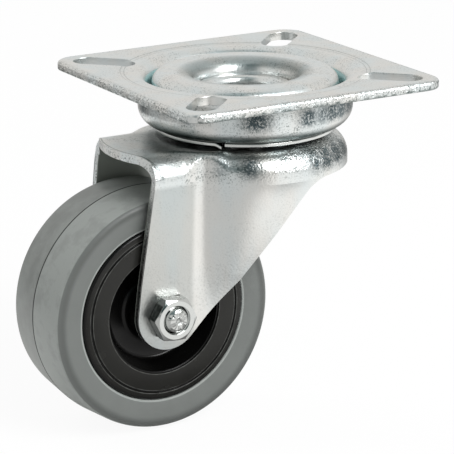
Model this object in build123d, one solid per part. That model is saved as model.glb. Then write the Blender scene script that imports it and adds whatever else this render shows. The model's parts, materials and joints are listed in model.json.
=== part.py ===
from build123d import *
import math
import os

# Swivel castor: a 50 mm wheel in a pressed steel fork that turns under a 60 mm square plate.
# Sizes are in millimetres. The origin is on the swivel axis in the plate's mounting face, with
# +Z up. The axle lies along Y and trails the swivel axis towards -X.
# A bend radius is always the one inside the bend.

# Whole castor
MOUNTING_HEIGHT = 71.0  # mounting face to floor
TRAIL = 25.0  # swivel axis to axle
WHEEL_DIAMETER = 50.0
WHEEL_WIDTH = 20.0

# Top plate
PLATE_SIDE = 60.0
PLATE_SHEET = 1.8
PLATE_CORNER_RADIUS = 5.0
PLATE_TOP_ROUND = 0.7
PLATE_UNDER_ROUND = 0.3
SLOT_WIDTH = 6.2
SLOT_EDGE = 3.3  # outer end of each slot to the plate's rounded corner
SLOT_LIP_GAP = 0.3  # inner end of each slot to the bowl's lip
SLOT_ROUND = 0.2  # top edge of each slot
BEAD_DROP = 0.25  # the ring round the bowl lies this far below the mounting face
BEAD_RUN = 0.9  # width of the slope down to that ring
BEAD_LAND = 1.85  # flat of that ring, up to the lip
BEAD_BEND = 0.4
BOWL_LIP_BEND = 1.2
BOWL_CORNER_BEND = 2.0  # where the wall meets the trough
TROUGH_FLAT = 0.75
RAMP_BEND = 0.2  # where the trough turns up to the race floor
RACE_BEND = 0.8  # where the ramp meets the race floor
BOWL_HOLE_PLAY = 0.9  # race floor's hole round the king rivet

# Ball races
BALL_DIAMETER = 4.5
UPPER_BALLS = 17
LOWER_BALLS = 16
BALL_PLAY = 0.03
RAMP_PLAY = 0.2  # lower balls to the bowl's ramp
RACE_STEP = 1.25  # lower race inside the upper one, on radius

# Race cap
CAP_SHEET = 1.6
CAP_DROP = 0.25  # cap's top below the mounting face
CAP_RIM_HEIGHT = 5.5
CAP_RIM_BEND = 0.7
CAP_BOWL_GAP = 1.15  # cap's rim to the bowl's wall
CAP_NECK_BEND = 1.6
CAP_NECK_PLAY = 0.05  # upper balls to the cap's neck
CAP_LEDGE = 1.7  # how far the ledge under the rivet's head reaches
CAP_LEDGE_DEPTH = 4.15  # below the cap's top
CAP_LEDGE_BEND = 0.3

# King rivet
KING_RADIUS = 8.6
KING_WALL = 1.1
KING_PLAY = 0.3  # in the cap and in the crown, no less than the bend
KING_BEND = 0.25
KING_HEAD_REACH = 1.4
KING_FOOT_REACH = 1.7
KING_EDGE_ROUND = 0.35

# Dust ring
CROWN_CLEARANCE = 1.65  # bowl's underside to the fork's crown
RING_INSET = 1.45  # inside the bowl's inner wall
RING_WIDTH = 2.0
RING_PLAY = 0.1  # under the bowl
RING_THICKNESS = 0.8
RING_EDGE_ROUND = 0.25
RING_SPLIT_ANGLE = 225.0
RING_SPLIT_WIDTH = 0.8

# Fork
FORK_SHEET = 1.75
CROWN_INSET = 1.05  # crown inside the bowl's outer wall
CROWN_SHOULDER_BEND = 3.3
CROWN_SKIRT = 6.6  # crown's top to its lower edge
CROWN_GROOVE_DEPTH = 0.17
LEG_SPLAY = 1.25  # each leg stands further out at the crown than at the axle
LEG_KNEE_RISE = 7.0  # bend across the legs above the axle, where they turn parallel
LEG_FLARE_FOOT = 2.5  # below the axle, where the legs' rear flare has run out
LEG_FLARE_POWER = 1.25
VALLEY_RADIUS = 4.5  # in plan, where the wing meets the round crown
VALLEY_BEND = 0.3  # the shoulder's bend in the middle of that valley, where it is tightest
VALLEY_EDGE = 1.3  # outside radius of that bend
VALLEY_EASE = 3.6  # how far past the valley it takes to grow to the full bend
SHOULDER_STEPS = 7
EYE_RADIUS = 7.05  # round end of each leg, about the axle
LIP_LEAD = 3.4  # lip's ends ahead of the axle
LIP_BULGE = 3.1  # middle of the lip ahead of its ends
LIP_STRAIGHT = 2.0  # straight end of the lip at each side
LIP_DEPTH = 4.1  # crown's top to where the legs' front edge starts to lean
REAR_CORNER = 4.6  # behind the swivel axis, where the legs' rear edge meets the skirt
REAR_KNEE = 9.4  # ahead of the swivel axis, where that edge bends towards the eye
REAR_KNEE_SHARE = 0.787  # how far down from the skirt to the axle it bends
REAR_TOP_RADIUS = 6.0
REAR_KNEE_RADIUS = 8.0

# Axle
AXLE_DIAMETER = 5.0
AXLE_HOLE_PLAY = 0.1
HEX_ACROSS_FLATS = 8.5
HEX_TURN = 56.0  # degrees, from flat forward
HEX_CHAMFER_ANGLE = 30.0
HEX_CHAMFER_INSET = 0.25
BOLT_HEAD_HEIGHT = 3.5
BOLT_END = 0.9  # bolt's end beyond the nut
BOLT_END_CHAMFER = 0.7
NUT_HEIGHT = 3.2
NUT_BORE_PLAY = 0.03
NUT_COUNTERSINK = 0.55
SLEEVE_DIAMETER = 8.0

# Wheel
HUB_INSET = 0.1  # hub's face inside the tyre's width, each side
HUB_SIDE_PLAY = 0.1  # hub's face to the leg
HUB_BORE_PLAY = 0.05
HUB_RIM_RADIUS = 18.5
HUB_RIM_INSET = 0.6  # rim's edge inside the hub's face
HUB_BAND_WIDTH = 1.6  # rounded band from the rim's edge to the face
HUB_FACE_WIDTH = 4.1  # band to the recess
HUB_RECESS_DEPTH = 5.0
HUB_RECESS_DRAFT = 1.8
HUB_RECESS_BEND = 1.2
HUB_BOSS_WALL = 1.95
HUB_BOSS_DRAFT = 0.4
HUB_EDGE_ROUND = 0.4
KEY_DEPTH = 1.6  # channel in the rim that locks the tyre
KEY_WIDTH = 11.0
KEY_SLANT = 0.8
TREAD_CROWN = 0.75  # tread's middle above its edges, on radius
TYRE_CORNER_RADIUS = 1.2
TYRE_CORNER_REACH = 0.19  # corner of the tyre's outline, before rounding, beyond its width

# Worked out from the sizes above, from the king rivet outwards and from the face downwards
ball_radius = BALL_DIAMETER / 2
neck_radius = KING_RADIUS + CAP_LEDGE
upper_race = neck_radius + CAP_SHEET + CAP_NECK_PLAY + ball_radius
lower_race = upper_race - RACE_STEP
upper_balls_z = -(CAP_DROP + CAP_SHEET + BALL_PLAY + ball_radius)
race_floor_z = upper_balls_z - ball_radius - BALL_PLAY
lower_balls_z = race_floor_z - PLATE_SHEET - BALL_PLAY - ball_radius
crown_z = lower_balls_z - ball_radius - BALL_PLAY + CROWN_GROOVE_DEPTH
trough_z = crown_z + CROWN_CLEARANCE + PLATE_SHEET
ramp_reach = (ball_radius + RAMP_PLAY + PLATE_SHEET) * math.sqrt(2)
ramp_foot = lower_race + ramp_reach - (trough_z - lower_balls_z)
ramp_head = ramp_foot - (race_floor_z - trough_z)
bowl_radius = ramp_foot + RAMP_BEND * math.tan(math.pi / 8) + TROUGH_FLAT + BOWL_CORNER_BEND
cap_radius = bowl_radius - CAP_BOWL_GAP
cap_ledge_z = -(CAP_DROP + CAP_LEDGE_DEPTH)
crown_radius = bowl_radius + PLATE_SHEET - CROWN_INSET
skirt_z = crown_z - CROWN_SKIRT
full_bend = CROWN_SHOULDER_BEND + FORK_SHEET  # outside radius of the shoulder
axle_z = WHEEL_DIAMETER / 2 - MOUNTING_HEIGHT
hub_half = WHEEL_WIDTH / 2 - HUB_INSET
leg_gap = hub_half + HUB_SIDE_PLAY
leg_face = leg_gap + FORK_SHEET
wing_half = leg_face + LEG_SPLAY
lip_x = -TRAIL - LIP_LEAD
lip_z = crown_z - LIP_DEPTH
front_x = lip_x - LIP_BULGE - FORK_SHEET  # where the untrimmed wing ends
axle_hole_radius = AXLE_DIAMETER / 2 + AXLE_HOLE_PLAY
sleeve_radius = SLEEVE_DIAMETER / 2
bowl_lip = bowl_radius + PLATE_SHEET + BOWL_LIP_BEND
slot_inner = bowl_lip + SLOT_LIP_GAP
slot_outer = (PLATE_SIDE / 2 - PLATE_CORNER_RADIUS) * math.sqrt(2) + PLATE_CORNER_RADIUS - SLOT_EDGE
nut_end = leg_face + NUT_HEIGHT
key_radius = HUB_RIM_RADIUS - KEY_DEPTH
rim_edge = hub_half - HUB_RIM_INSET


def bent_sheet(corners, bends, thickness):
    """Face on XZ of a bent sheet. corners are one skin's points, and the other skin lies to their
    left. bends gives the inside radius at each corner between the ends."""
    points = [Vector(*corner) for corner in corners]
    runs = [(b - a).normalized() for a, b in zip(points, points[1:])]
    lefts = [Vector(-run.Y, run.X) * thickness for run in runs]
    other = [points[0] + lefts[0]]
    radii = []
    other_radii = []
    for i, bend in enumerate(bends):
        turns_left = runs[i].cross(runs[i + 1]).Z > 0
        share = 1 / (1 + runs[i].dot(runs[i + 1]))
        other.append(points[i + 1] + (lefts[i] + lefts[i + 1]) * share)
        radii.append(bend + thickness if turns_left else bend)
        other_radii.append(bend if turns_left else bend + thickness)
    other.append(points[-1] + lefts[-1])
    skin = FilletPolyline(*points, radius=radii)
    other_skin = FilletPolyline(*other, radius=other_radii)
    ends = [Line(points[0], other[0]), Line(points[-1], other[-1])]
    return Plane.XZ * make_face([*skin.edges(), *other_skin.edges(), *ends])


def turned(points, radii=0.0):
    """Solid of a closed outline of (radius, height) points, with its corners rounded, about Z."""
    return revolve(Plane.XZ * make_face(FilletPolyline(*points, radius=radii, close=True)), Axis.Z)


def on_axle(shape):
    """Moves a shape turned about Z to the axle, where its +Z end faces -Y, the nut's side."""
    return Pos(-TRAIL, 0, axle_z) * Rot(90, 0, 0) * shape


def top_plate():
    """Square plate with a bowl pressed down, and a race floor raised in the bowl's middle."""
    land = bowl_lip + BEAD_LAND
    bead = land + BEAD_RUN
    seam = (bead + PLATE_SIDE / 2) / 2
    corners = [
        (seam, 0),
        (bead, 0),
        (land, -BEAD_DROP),
        (bowl_radius, -BEAD_DROP),
        (bowl_radius, trough_z),
        (ramp_foot, trough_z),
        (ramp_head, race_floor_z),
        (KING_RADIUS + BOWL_HOLE_PLAY, race_floor_z),
    ]
    bends = [BEAD_BEND, BEAD_BEND, BOWL_LIP_BEND, BOWL_CORNER_BEND, RAMP_BEND, RACE_BEND]
    plate = extrude(RectangleRounded(PLATE_SIDE, PLATE_SIDE, PLATE_CORNER_RADIUS), -PLATE_SHEET)
    plate = fillet(plate.faces().sort_by(Axis.Z)[-1].edges(), PLATE_TOP_ROUND)
    plate = fillet(plate.faces().sort_by(Axis.Z)[0].edges(), PLATE_UNDER_ROUND)
    plate -= extrude(Circle(seam), -PLATE_SHEET, both=True)
    plate += revolve(bent_sheet(corners, bends, PLATE_SHEET), Axis.Z)
    slot = SlotOverall(slot_outer - slot_inner, SLOT_WIDTH)
    slot = extrude(slot, PLATE_SHEET + BOWL_LIP_BEND, both=True)
    for angle in (45, 135, 225, 315):
        plate -= Rot(0, 0, angle) * Pos((slot_outer + slot_inner) / 2, 0, 0) * slot

    def rounded(edge):
        middle = edge.center()
        out = (abs(middle.X) + abs(middle.Y)) / math.sqrt(2)
        aside = abs(abs(middle.X) - abs(middle.Y)) / math.sqrt(2)
        along = slot_inner - SLOT_ROUND < out < slot_outer + SLOT_ROUND
        return along and aside < SLOT_WIDTH / 2 + SLOT_ROUND and middle.Z > -PLATE_SHEET / 2

    return fillet(plate.edges().filter_by(rounded), SLOT_ROUND)


def race_cap():
    """Pressed ring over the upper balls, with a neck down to the ledge under the rivet's head."""
    corners = [
        (cap_radius, -CAP_DROP - CAP_RIM_HEIGHT),
        (cap_radius, -CAP_DROP),
        (neck_radius, -CAP_DROP),
        (neck_radius, cap_ledge_z),
        (KING_RADIUS + KING_PLAY, cap_ledge_z),
    ]
    bends = [CAP_RIM_BEND, CAP_NECK_BEND, CAP_LEDGE_BEND]
    return revolve(bent_sheet(corners, bends, CAP_SHEET), Axis.Z)


def king_rivet():
    """Hollow rivet that ties the cap to the crown: its head on the ledge, its foot swaged below."""
    foot_z = crown_z - FORK_SHEET
    foot = KING_RADIUS + KING_FOOT_REACH
    head = KING_RADIUS + KING_HEAD_REACH
    corners = [(foot, foot_z), (KING_RADIUS, foot_z), (KING_RADIUS, cap_ledge_z), (head, cap_ledge_z)]
    rivet = revolve(bent_sheet(corners, [KING_BEND, KING_BEND], KING_WALL), Axis.Z)
    ends = [rivet.faces().sort_by(Axis.Z)[i] for i in (0, -1)]
    return fillet([end.edges().sort_by(SortBy.RADIUS)[-1] for end in ends], KING_EDGE_ROUND)


def dust_ring():
    """Split ring that closes the gap between the bowl and the crown."""
    outer = bowl_radius - RING_INSET
    inner = outer - RING_WIDTH
    high = crown_z + CROWN_CLEARANCE - RING_PLAY
    low = high - RING_THICKNESS
    ring = turned([(inner, low), (outer, low), (outer, high), (inner, high)], RING_EDGE_ROUND)
    split = Box(RING_WIDTH * 3, RING_SPLIT_WIDTH, CROWN_CLEARANCE)
    return ring - Rot(0, 0, RING_SPLIT_ANGLE) * Pos(outer - RING_WIDTH / 2, 0, (low + high) / 2) * split


def balls(count, race_radius, z):
    """One row of balls, the first of them on +X."""
    ball = Pos(race_radius, 0, z) * Sphere(ball_radius)
    return [Rot(0, 0, 360 * i / count) * ball for i in range(count)]


def valley_points(inset):
    """Points across the +Y valley from the wing to the round crown: each in plan, with its outward
    way and its distance from the valley's middle as a share of where the full bend starts."""
    middle_y = wing_half + VALLEY_RADIUS
    middle = Vector(-math.sqrt((crown_radius + VALLEY_RADIUS) ** 2 - middle_y**2), middle_y)
    turn = math.atan2(-middle.X, middle.Y)
    reach = VALLEY_RADIUS * turn / 2 + VALLEY_EASE
    points = []
    for ease in (VALLEY_EASE, VALLEY_EASE / 2):
        point = middle - Vector(ease, VALLEY_RADIUS + inset)
        points.append((point, Vector(0, 1), 1 + (ease - VALLEY_EASE) / reach))
    for angle in (0, turn / 2, turn):
        way = Vector(-math.sin(angle), math.cos(angle))
        share = abs(angle - turn / 2) * VALLEY_RADIUS / reach
        points.append((middle - way * (VALLEY_RADIUS + inset), way, share))
    for ease in (VALLEY_EASE / 2, VALLEY_EASE):
        angle = turn - ease / crown_radius
        way = Vector(-math.sin(angle), math.cos(angle))
        points.append((way * (crown_radius - inset), way, 1 + (ease - VALLEY_EASE) / reach))
    return points


def shoulder_section(step, inset):
    """Plan face through the crown's shoulder, from its foot at step 0 up to the crown's top."""
    turn = math.pi / 2 * step / SHOULDER_STEPS
    full = full_bend - inset
    least = VALLEY_BEND + (VALLEY_EDGE - VALLEY_BEND) * (1 - inset / FORK_SHEET)
    drop = full * (1 - math.sin(turn))

    def lean(share):
        bend = least + (full - least) * share**2 * (3 - 2 * share)
        return bend - math.sqrt(bend**2 - max(0, bend - drop) ** 2)

    across = valley_points(inset)
    points = [point - way * lean(share) for point, way, share in across]
    way = across[-1][1]
    radius = crown_radius - inset - lean(1)
    wing = points[0].Y
    side = [
        Line((front_x, wing), points[0]),
        Spline(*points, tangents=[(1, 0), (way.Y, -way.X)]),
        RadiusArc(points[-1], (radius, 0), radius),
    ]
    other_side = [mirror(line, Plane.XZ) for line in side]
    lines = side + other_side + [Line((front_x, -wing), (front_x, wing))]
    face = make_face([edge for line in lines for edge in line.edges()])
    return Pos(0, 0, crown_z - inset - drop) * face


def leg_section(z, inset):
    """Plan face through both legs at a height, from ahead of the lip to behind the swivel axis.

    Ahead of the valley each side is straight. Behind it the side follows the round crown, less and
    less so further down."""
    rear = REAR_CORNER + REAR_TOP_RADIUS
    knee_z = axle_z + LEG_KNEE_RISE
    splay = LEG_SPLAY * max(0, 1 - (skirt_z - z) / (skirt_z - knee_z))
    sink = (skirt_z - z) / (skirt_z - axle_z + LEG_FLARE_FOOT)
    flare = 1 - min(1, sink) ** LEG_FLARE_POWER
    radius = crown_radius - inset
    half = leg_face + splay - inset
    across = valley_points(inset)
    top_half = across[0][0].Y

    def flared(point):
        return Vector(point.X, half + (point.Y - top_half) * flare)

    def flared_way(out):
        return Vector(out.Y, -out.X * flare).normalized()

    points = [flared(point) for point, _, _ in across]
    out = across[-1][1]
    end_out = Vector(rear, math.sqrt(radius**2 - rear**2)) / radius
    end = flared(end_out * radius)
    if flare == 1:
        valley = Spline(*points, tangents=[(1, 0), flared_way(out)])
        round_side = RadiusArc(points[-1], end, radius)
    elif flare > 0:
        valley = Spline(*points, tangents=[(1, 0), flared_way(out)])
        round_side = Spline(points[-1], end, tangents=[flared_way(out), flared_way(end_out)])
    else:
        valley = Line(points[0], points[-1])
        round_side = Line(points[-1], end)
    ends = [Line((x, -y), (x, y)) for x, y in ((front_x, half), (end.X, end.Y))]
    side = [Line((front_x, half), points[0]), valley, round_side]
    other_side = [mirror(line, Plane.XZ) for line in side]
    face = make_face([edge for line in side + other_side + ends for edge in line.edges()])
    return Pos(0, 0, z) * face


def fork_form(inset):
    """Solid bounded by the fork's outer face, or by its inner face with the sheet as inset."""
    sections = [shoulder_section(step, inset) for step in range(SHOULDER_STEPS + 1)]
    skirt = skirt_z - (crown_z - full_bend)
    skirt_sections = [Pos(0, 0, skirt * share) * sections[0] for share in (1, 0.5)]
    crown = loft(skirt_sections + sections)
    knee_z = axle_z + LEG_KNEE_RISE
    flat_z = axle_z - LEG_FLARE_FOOT
    heights = [skirt_z + (knee_z - skirt_z) * i / 4 for i in range(5)]
    upper_legs = loft([leg_section(z, inset) for z in heights])
    lower_legs = loft([leg_section(z, inset) for z in (knee_z, flat_z)], ruled=True)
    foot = extrude(leg_section(flat_z, inset), EYE_RADIUS, dir=(0, 0, -1))
    return crown + upper_legs + lower_legs + foot


def fork_side():
    """Prism through the fork whose outline, seen from the side, is that of the crown and legs."""
    top = crown_z + 1
    far = 2 * crown_radius
    axle = Vector(-TRAIL, axle_z)
    lip = Vector(lip_x, lip_z)
    knee = Vector(-REAR_KNEE, skirt_z + (axle_z - skirt_z) * REAR_KNEE_SHARE)
    corner = Vector(REAR_CORNER, skirt_z)

    def eye_end(point, side):
        way = point - axle
        angle = math.atan2(way.Y, way.X) + side * math.acos(EYE_RADIUS / way.length)
        return axle + Vector(math.cos(angle), math.sin(angle)) * EYE_RADIUS

    front_end = eye_end(lip, 1)
    foot_end = eye_end(knee, -1)
    front = Polyline((far, top), (-far, top), (-far, lip_z), lip, front_end)
    eye = ThreePointArc(front_end, axle - Vector(0, EYE_RADIUS), foot_end)
    rear = FilletPolyline(
        foot_end, knee, corner, (far, skirt_z), (far, top), radius=[REAR_KNEE_RADIUS, REAR_TOP_RADIUS, 0]
    )
    outline = make_face([*front.edges(), *eye.edges(), *rear.edges()])
    return extrude(Plane.XZ * outline, 2 * crown_radius, both=True)


def lip_trim():
    """What lies ahead of the wing's lip, which bulges forward between two short straight ends."""
    half = 2 * wing_half
    bulge_half = wing_half - LIP_STRAIGHT
    ends = [(lip_x, bulge_half), (lip_x, -bulge_half)]
    lip = ThreePointArc(ends[0], (lip_x - LIP_BULGE, 0), ends[1])
    front = 3 * lip_x
    around = Polyline(ends[1], (lip_x, -half), (front, -half), (front, half), (lip_x, half), ends[0])
    return extrude(Pos(0, 0, lip_z) * make_face([*lip.edges(), *around.edges()]), LIP_DEPTH + 1)


def fork():
    """Pressed fork: a round crown with the lower race, a wing towards the front and two legs."""
    body = (fork_form(0) - fork_form(FORK_SHEET)) & fork_side()
    body -= lip_trim()
    groove_reach = ball_radius + BALL_PLAY
    swell = Pos(0, 0, lower_balls_z) * Torus(lower_race, groove_reach + FORK_SHEET)
    under = Pos(0, 0, crown_z - FORK_SHEET / 2) * Cylinder(
        crown_radius, FORK_SHEET, align=(Align.CENTER, Align.CENTER, Align.MAX)
    )
    body += swell & under
    body -= Pos(0, 0, lower_balls_z) * Torus(lower_race, groove_reach)
    body -= Pos(0, 0, crown_z) * Cylinder(KING_RADIUS + KING_PLAY, 3 * FORK_SHEET)
    body -= on_axle(Cylinder(axle_hole_radius, 4 * wing_half))
    return body


def hexagon(height, ends):
    """Hexagonal bar from z 0 up, chamfered at the top, or at both ends."""
    flats = HEX_ACROSS_FLATS / 2
    corner = HEX_ACROSS_FLATS / math.sqrt(3)
    inner = flats - HEX_CHAMFER_INSET
    outer = 1.1 * corner
    drop = (outer - inner) * math.tan(math.radians(HEX_CHAMFER_ANGLE))
    low = [(inner, 0), (outer, drop)] if ends == 2 else [(outer, 0)]
    cone = turned([(0, 0), *low, (outer, height - drop), (inner, height), (0, height)])
    return extrude(Rot(0, 0, HEX_TURN) * RegularPolygon(corner, 6), height) & cone


def axle_bolt():
    """Hexagon bolt through both legs, with its head on the +Y side."""
    length = leg_face + nut_end + BOLT_END
    shank = Pos(0, 0, -leg_face) * Cylinder(
        AXLE_DIAMETER / 2, length, align=(Align.CENTER, Align.CENTER, Align.MIN)
    )
    shank = chamfer(shank.faces().sort_by(Axis.Z)[-1].edges(), BOLT_END_CHAMFER)
    head = Pos(0, 0, -leg_face) * Rot(180, 0, 0) * hexagon(BOLT_HEAD_HEIGHT, 1)
    return on_axle(shank + head)


def axle_nut():
    """Hexagon nut against the leg on the -Y side, countersunk at both ends."""
    bore = AXLE_DIAMETER / 2 + NUT_BORE_PLAY
    nut = hexagon(NUT_HEIGHT, 2) - Cylinder(bore, 4 * NUT_HEIGHT)
    circles = nut.edges().filter_by(GeomType.CIRCLE)
    mouths = circles.filter_by(lambda edge: edge.radius < bore + 0.01)
    return on_axle(Pos(0, 0, leg_face) * chamfer(mouths, NUT_COUNTERSINK))


def axle_sleeve():
    """Steel tube between the legs, on which the wheel turns."""
    return on_axle(Cylinder(sleeve_radius, 2 * leg_gap) - Cylinder(axle_hole_radius, 4 * leg_gap))


def both_sides(half):
    """Closed outline from (radius, height, corner radius) points on one side, mirrored to the other."""
    points = [(r, z) for r, z, _ in half] + [(r, -z) for r, z, _ in reversed(half)]
    radii = [bend for _, _, bend in half]
    return points, radii + radii[::-1]


def key_outline():
    """Half outline of the rim's seat, which dips to a channel in the middle that locks the tyre."""
    shoulder = KEY_WIDTH / 2
    return [(HUB_RIM_RADIUS, shoulder + KEY_SLANT, 0), (key_radius, shoulder, 0)]


def hub():
    """Moulded wheel centre with a ring recess and a bored boss on each side."""
    bore = sleeve_radius + HUB_BORE_PLAY
    boss = bore + HUB_BOSS_WALL
    floor = hub_half - HUB_RECESS_DEPTH
    face = HUB_RIM_RADIUS - HUB_BAND_WIDTH
    recess = face - HUB_FACE_WIDTH
    half = [
        (bore, hub_half, 0),
        (boss, hub_half, HUB_EDGE_ROUND),
        (boss + HUB_BOSS_DRAFT, floor, HUB_RECESS_BEND),
        (recess - HUB_RECESS_DRAFT, floor, HUB_RECESS_BEND),
        (recess, hub_half, HUB_EDGE_ROUND),
        (face, hub_half, HUB_EDGE_ROUND),
        (HUB_RIM_RADIUS, rim_edge, 0),
        *key_outline(),
    ]
    return on_axle(turned(*both_sides(half)))


def tyre():
    """Rubber tyre on the rim, with its tread highest in the middle."""
    tread = WHEEL_DIAMETER / 2
    half = [
        (tread - TREAD_CROWN, WHEEL_WIDTH / 2 + TYRE_CORNER_REACH, TYRE_CORNER_RADIUS),
        (HUB_RIM_RADIUS, rim_edge, 0),
        *key_outline(),
    ]
    points, radii = both_sides(half)
    return on_axle(turned([(tread, 0), *points], [0, *radii]))


pieces = {
    "top_plate": top_plate(),
    "race_cap": race_cap(),
    "king_rivet": king_rivet(),
    "dust_ring": dust_ring(),
    "fork": fork(),
    "axle_bolt": axle_bolt(),
    "axle_nut": axle_nut(),
    "axle_sleeve": axle_sleeve(),
    "hub": hub(),
    "tyre": tyre(),
}
rows = {
    "upper_ball": balls(UPPER_BALLS, upper_race, upper_balls_z),
    "lower_ball": balls(LOWER_BALLS, lower_race, lower_balls_z),
}
for row, row_balls in rows.items():
    for number, ball in enumerate(row_balls, 1):
        pieces[f"{row}_{number:02d}"] = ball

os.makedirs("parts", exist_ok=True)
for name, piece in pieces.items():
    export_step(piece, f"parts/{name}.step")
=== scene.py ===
"""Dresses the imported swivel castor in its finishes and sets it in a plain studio."""

import json
import logging
import math
from collections.abc import Callable
from dataclasses import dataclass, field
from enum import Enum
from functools import reduce
from math import radians

import bpy
from mathutils import Matrix, Vector


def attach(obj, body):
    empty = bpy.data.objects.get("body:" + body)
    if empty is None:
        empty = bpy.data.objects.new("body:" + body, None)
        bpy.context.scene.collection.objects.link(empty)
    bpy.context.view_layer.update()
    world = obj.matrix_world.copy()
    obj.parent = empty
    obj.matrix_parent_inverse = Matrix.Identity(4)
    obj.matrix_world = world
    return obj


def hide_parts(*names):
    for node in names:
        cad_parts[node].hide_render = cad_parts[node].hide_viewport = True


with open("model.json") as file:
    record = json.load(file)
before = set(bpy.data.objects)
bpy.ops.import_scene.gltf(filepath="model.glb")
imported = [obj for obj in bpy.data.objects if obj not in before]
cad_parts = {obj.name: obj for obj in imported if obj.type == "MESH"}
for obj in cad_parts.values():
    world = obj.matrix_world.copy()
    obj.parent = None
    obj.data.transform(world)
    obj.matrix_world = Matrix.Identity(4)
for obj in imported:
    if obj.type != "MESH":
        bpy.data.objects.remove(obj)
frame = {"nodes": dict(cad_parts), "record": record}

log = logging.getLogger("castor")

MM = 0.001
ARC_STEP = radians(14)
SMOOTH_ANGLE = radians(30)
MERGE = 0.002 * MM
WHITE = (1, 1, 1)
SLANT = math.sqrt(0.5)
LIP_MIDDLE = -10.43
FORK_SIDE = (-39.0, -19.2, 11.75, 13.0)

Piece = bpy.types.Object
Node = bpy.types.Node
Socket = bpy.types.NodeSocket
Value = Socket | float
Pair = tuple[float, float]
Colour = tuple[float, float, float]
Point = tuple[float, float, float]
# Points of a closed outline: distance out from an axis and place along it.
Outline = list[Pair]
# Its corners: distance out, place along and rounding radius.
Profile = list[tuple[float, float, float]]
# A range and its results: start, end, result up to the start, result from the end on.
Ramp = tuple[float, float, float, float]
# Noise: size of a grain, octaves beyond the first and the weight of each.
Grain = tuple[float, float, float]
# Noise and the results that it is mapped to.
Mottle = tuple[Grain, Ramp]
# A patch round an axis: its middle and half its width in degrees, and its strength.
Patch = tuple[float, float, float]


class Slot(Enum):
    """Material slots that the record names."""

    ZINC_PLATE = "zinc_plate"
    BRIGHT_STEEL = "bright_steel"
    BALL_STEEL = "ball_steel"
    HUB_PLASTIC = "hub_plastic"
    TYRE_RUBBER = "tyre_rubber"


class Body(Enum):
    """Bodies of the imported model."""

    PLATE = "plate"
    FORK = "swivel_fork"
    WHEEL = "wheel"


class By(Enum):
    """What a place is measured by, in millimetres and degrees."""

    X = "across"
    Z = "up"
    SIDE = "out from the middle plane"
    REACH = "out from the swivel axis"
    OUT = "out from the axle"
    FAR = "out towards the nearest side of the plate"
    ASIDE = "out from a diagonal of the plate"
    LIP = "out from the middle of the fork's lip"
    DEPTH = "in from the fork's side"
    ANGLE = "round from the front"


@dataclass(frozen=True)
class Limit:
    """A soft limit: 1 on one side and its least value on the other."""

    by: By
    least_at: float
    full_at: float
    least: float = 0.0
    way: str = "SMOOTHSTEP"


Mask = tuple[Limit, ...]
Masks = tuple[Mask, ...]
# Painted light and shade on some areas, each a brightness and its masks.
Shades = tuple[tuple[float, Masks], ...]
Materials = dict[Slot, bpy.types.Material]


@dataclass(frozen=True)
class Axis:
    """An axis that pieces are turned about, in millimetres."""

    centre: Point
    along: Point
    out: Point

    def at(self, out: float, along: float) -> Vector:
        """Returns a point, in metres, by its distance out from the axis and along it."""
        return (Vector(self.centre) + Vector(self.out) * out + Vector(self.along) * along) * MM


AXLE = Axis((-25, 0, -46), (0, -1, 0), (1, 0, 0))


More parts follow.
